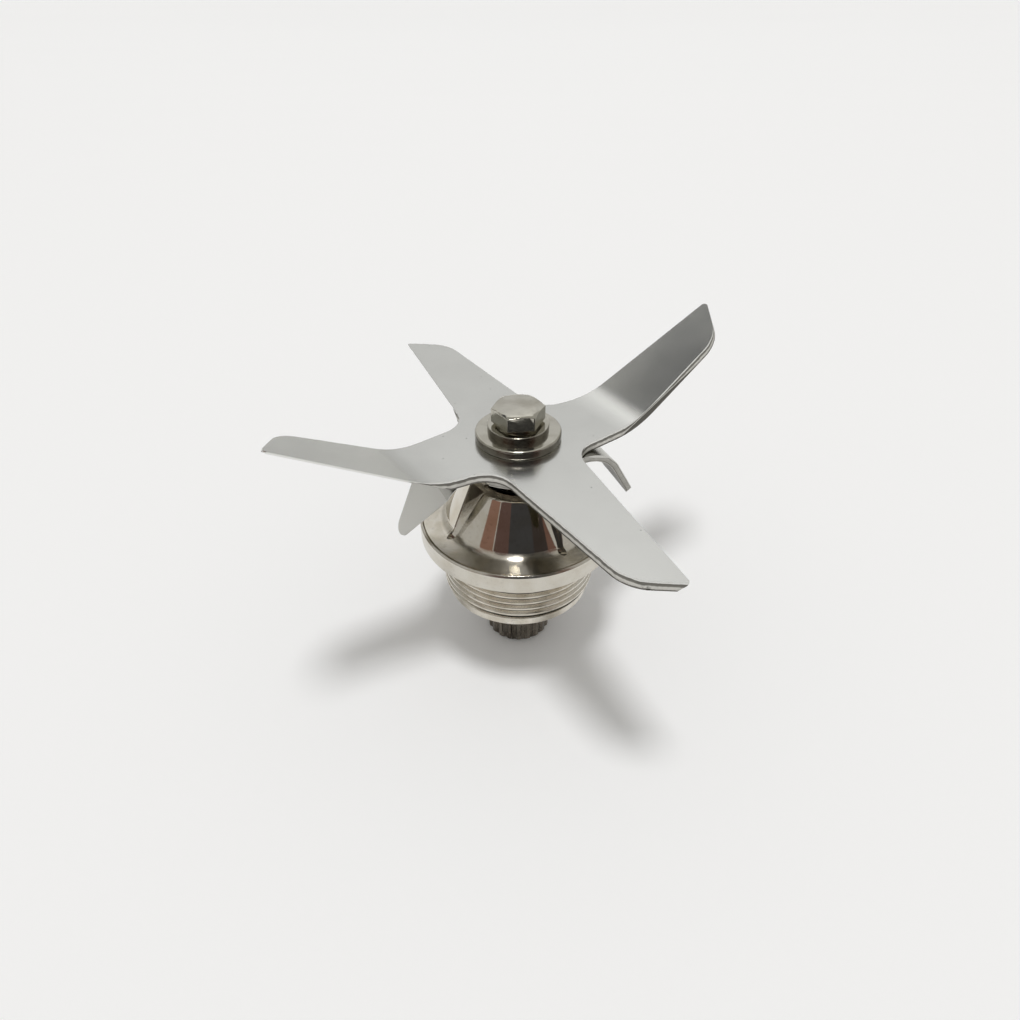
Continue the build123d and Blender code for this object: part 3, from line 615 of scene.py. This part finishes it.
def thread_tree():
    """Geometry nodes of a helical ridge: a rounded tooth swept along a spiral that dies out at its ends."""
    tree = bpy.data.node_groups.new("jar_thread", "GeometryNodeTree")
    sizes = (("Root radius", thread_root * MM), ("Crest radius", thread_crest * MM), ("Pitch", 1.75 * MM),
             ("Start height", thread_foot * MM), ("Turns", 7.1))
    for label, value in sizes:
        tree.interface.new_socket(label, in_out="INPUT", socket_type="NodeSocketFloat").default_value = value
    tree.interface.new_socket("Coat", in_out="INPUT", socket_type="NodeSocketMaterial")
    tree.interface.new_socket("Geometry", in_out="OUTPUT", socket_type="NodeSocketGeometry")
    given = add(tree, "NodeGroupInput")
    height = add(tree, "ShaderNodeMath", {0: given.outputs["Pitch"], 1: given.outputs["Turns"]},
                 operation="MULTIPLY")
    spiral = add(tree, "GeometryNodeCurveSpiral", {
        "Resolution": 120, "Rotations": given.outputs["Turns"], "Start Radius": given.outputs["Root radius"],
        "End Radius": given.outputs["Root radius"], "Height": height.outputs[0]})
    lift = add(tree, "ShaderNodeCombineXYZ", {"Z": given.outputs["Start height"]})
    raised = add(tree, "GeometryNodeTransform", {
        "Geometry": spiral.outputs[0], "Translation": lift.outputs[0]})
    steady = add(tree, "GeometryNodeSetCurveNormal", {"Curve": raised.outputs[0]}, mode="Z_UP")
    # The tooth thins to nothing over the first and last half turn
    along = add(tree, "GeometryNodeSplineParameter").outputs["Factor"]
    turned = add(tree, "ShaderNodeMath", {0: along, 1: given.outputs["Turns"]}, operation="MULTIPLY")
    left = add(tree, "ShaderNodeMath", {0: given.outputs["Turns"], 1: turned.outputs[0]},
               operation="SUBTRACT")
    near = add(tree, "ShaderNodeMath", {0: turned.outputs[0], 1: left.outputs[0]}, operation="MINIMUM")
    swell = add(tree, "ShaderNodeMapRange", {
        "Value": near.outputs[0], "From Min": 0.0, "From Max": 0.5, "To Min": 0.05, "To Max": 1.0})
    tooth = add(tree, "ShaderNodeMath", {0: given.outputs["Crest radius"], 1: given.outputs["Root radius"]},
                operation="SUBTRACT")
    girth = add(tree, "ShaderNodeMath", {0: tooth.outputs[0], 1: swell.outputs[0]}, operation="MULTIPLY")
    # The tooth's corners, as shares of its height: it stands out along -X
    profile = add(tree, "GeometryNodeCurvePrimitiveQuadrilateral", {
        "Point 1": (0.25, -1.12, 0), "Point 2": (-1.0, -0.30, 0),
        "Point 3": (-1.0, 0.30, 0), "Point 4": (0.25, 1.12, 0)}, mode="POINTS")
    softened = add(tree, "GeometryNodeFilletCurve", {
        "Curve": profile.outputs[0], "Radius": 0.16, "Count": 3}, mode="POLY")
    ridge = add(tree, "GeometryNodeCurveToMesh", {
        "Curve": steady.outputs[0], "Profile Curve": softened.outputs[0], "Scale": girth.outputs[0],
        "Fill Caps": True})
    real = add(tree, "GeometryNodeRealizeInstances", {"Geometry": ridge.outputs[0]})
    coat = add(tree, "GeometryNodeSetMaterial", {
        "Geometry": real.outputs[0], "Material": given.outputs["Coat"]})
    add(tree, "NodeGroupOutput", {"Geometry": coat.outputs[0]})
    return tree


def grown(name, tree, coat):
    """The mesh that a geometry-nodes tree makes, as a plain bmesh."""
    seed = bpy.data.objects.new(name + "_seed", bpy.data.meshes.new(name + "_seed"))
    scene.collection.objects.link(seed)
    maker = seed.modifiers.new("maker", "NODES")
    maker.node_group = tree
    for item in tree.interface.items_tree:
        if item.in_out == "INPUT" and item.socket_type == "NodeSocketMaterial":
            maker[item.identifier] = coat
    graph = bpy.context.evaluated_depsgraph_get()
    plain = bpy.data.meshes.new_from_object(seed.evaluated_get(graph))
    mesh = bmesh.new()
    mesh.from_mesh(plain)
    bpy.data.objects.remove(seed)
    return mesh


thread_mesh = grown("housing_thread", thread_tree(), thread_nickel)
bmesh.ops.recalc_face_normals(thread_mesh, faces=thread_mesh.faces)
piece(thread_mesh, "housing_thread", "jar_side", (thread_nickel,))

# Inner pieces keep their CAD shape and get the finish of their material
for name, coat in (
    ("shaft_seal", rubber), ("inner_sleeve", sleeve_steel), ("outer_sleeve", sleeve_steel),
    ("upper_outer_race", bearing_steel), ("upper_inner_race", bearing_steel), ("upper_balls", bearing_steel),
    ("upper_shields", bearing_steel), ("upper_cage", brass),
    ("lower_outer_race", bearing_steel), ("lower_inner_race", bearing_steel), ("lower_balls", bearing_steel),
    ("lower_shields", bearing_steel), ("lower_cage", brass),
):
    nodes[name].data.materials.clear()
    nodes[name].data.materials.append(coat)

# Floor: matt pale paper
floor_mesh = bmesh.new()
bmesh.ops.create_grid(floor_mesh, x_segments=8, y_segments=8, size=6.0)
floor_data = bpy.data.meshes.new("paper_floor")
floor_mesh.to_mesh(floor_data)
floor_mesh.free()
floor = bpy.data.objects.new("paper_floor", floor_data)
scene.collection.objects.link(floor)
paper = bpy.data.materials.new("matt_white_paper")
paper_tree = bare_tree(paper)
paper_shader = add(paper_tree, "ShaderNodeBsdfPrincipled", {
    "Base Color": linear("#fcfcfd"), "Roughness": 0.9, "Specular IOR Level": 0.1})
add(paper_tree, "ShaderNodeOutputMaterial", {"Surface": paper_shader.outputs[0]})
floor_data.materials.append(paper)


def card(name, corners, colour, strength=1.0):
    """A studio card that only shows in reflections; its corners are in millimetres."""
    mesh = bmesh.new()
    mesh.faces.new([mesh.verts.new(Vector(corner) * MM) for corner in corners])
    data = bpy.data.meshes.new(name)
    mesh.to_mesh(data)
    mesh.free()
    made = bpy.data.objects.new(name, data)
    scene.collection.objects.link(made)
    coat = bpy.data.materials.new(name)
    tree = bare_tree(coat)
    glow = add(tree, "ShaderNodeEmission", {"Color": linear(colour), "Strength": strength})
    add(tree, "ShaderNodeOutputMaterial", {"Surface": glow.outputs[0]})
    data.materials.append(coat)
    made.visible_camera = False
    made.visible_diffuse = False
    made.visible_shadow = False


# Upright panels in a ring, dark on the camera's side and grey to the left: first and last azimuth, foot
# and top in millimetres, and colour
panel_reach = 900
for name, first, last, base, top, colour in (
    ("panel_1", -147, -127.5, 50, 620, "#8a6c60"), ("panel_2", -126.3, -105, 50, 1150, "#5e4b47"),
    ("panel_3", -105, -68, 50, 1150, "#404042"), ("panel_4", -68, -48, 50, 1150, "#3c3634"),
    ("panel_5", -48, -30, 50, 1150, "#70564d"), ("panel_6", 146, 178, 380, 950, "#a8a8a4"),
):
    feet = [(panel_reach * cos(radians(a)), panel_reach * sin(radians(a))) for a in (first, last)]
    card(name, ((*feet[0], base), (*feet[1], base), (*feet[1], top), (*feet[0], top)), colour)
# Overhead: a dark card with a bright strip beyond it, and a small glaring one for the lamp's own glint
for name, height, outline, colour, strength in (
    ("ceiling_card", 950, ((-540, 300), (-262, 300), (-262, 620), (-310, 620), (-540, 400)), "#0b1220", 1.0),
    ("ceiling_strip", 950, ((-420, 660), (300, 660), (300, 860), (-420, 860)), "#ffffff", 1.3),
    ("glint_card", 945, ((-45, -230), (25, -230), (25, -70), (-45, -70)), "#ffffff", 30.0),
):
    card(name, [(x, y, height) for x, y in outline], colour, strength)
# Back wall in three bands, brighter higher up
back_reach = 1500
back_half = 900
for name, base, top, strength in (
    ("back_foot", 110, 430, 0.66), ("back_low", 430, 1130, 0.78), ("back_high", 1130, 1700, 0.9),
):
    ends = [(-back_half, back_reach), (back_half, back_reach)]
    card(name, ((*ends[0], base), (*ends[1], base), (*ends[1], top), (*ends[0], top)), "#ffffff", strength)

# World: an even pale room
world = bpy.data.worlds.new("pale_room")
scene.world = world
world_tree = bare_tree(world)
room = add(world_tree, "ShaderNodeBackground", {"Color": linear("#e9e8e4"), "Strength": 0.62})
add(world_tree, "ShaderNodeOutputWorld", {"Surface": room.outputs[0]})

# Lamp: a soft disc above the camera, placed from the spread of the arms' shadows
lamp_spot = Vector((-11, -128, 768)) * MM
lamp_data = bpy.data.lights.new("overhead_lamp", "AREA")
lamp_data.shape = "DISK"
lamp_data.size = 160 * MM
lamp_data.energy = 2.3
# It lights the floor as evenly as a bright room would: its strength grows with the distance
lamp_growth = 4.0
lamp_tree = bare_tree(lamp_data)
away = add(lamp_tree, "ShaderNodeLightPath").outputs["Ray Length"]
ratio = add(lamp_tree, "ShaderNodeMath", {0: away, 1: lamp_spot.z}, operation="DIVIDE")
growth = add(lamp_tree, "ShaderNodeMath", {0: ratio.outputs[0], 1: lamp_growth}, operation="POWER")
lamp_glow = add(lamp_tree, "ShaderNodeEmission", {"Strength": growth.outputs[0]})
add(lamp_tree, "ShaderNodeOutputLight", {"Surface": lamp_glow.outputs[0]})
lamp = bpy.data.objects.new("overhead_lamp", lamp_data)
scene.collection.objects.link(lamp)
lamp.location = lamp_spot

# Camera: the photo's frame is square; the focal length, in its pixels, comes from the perspective of
# the blades and the flange
photo_side = 1020
focal_length = 767
camera_data = bpy.data.cameras.new("camera")
camera_data.sensor_width = 36.0
camera_data.sensor_fit = "HORIZONTAL"
camera_data.lens = camera_data.sensor_width * focal_length / photo_side
camera_data.clip_start = 5 * MM
camera = bpy.data.objects.new("camera", camera_data)
scene.collection.objects.link(camera)
camera.location = Vector((-1.90, -139.41, 144.43)) * MM
tilt = Matrix.Rotation(radians(52.12), 3, "X") @ Matrix.Rotation(radians(-0.5), 3, "Z")
camera.rotation_euler = tilt.to_euler()
scene.camera = camera
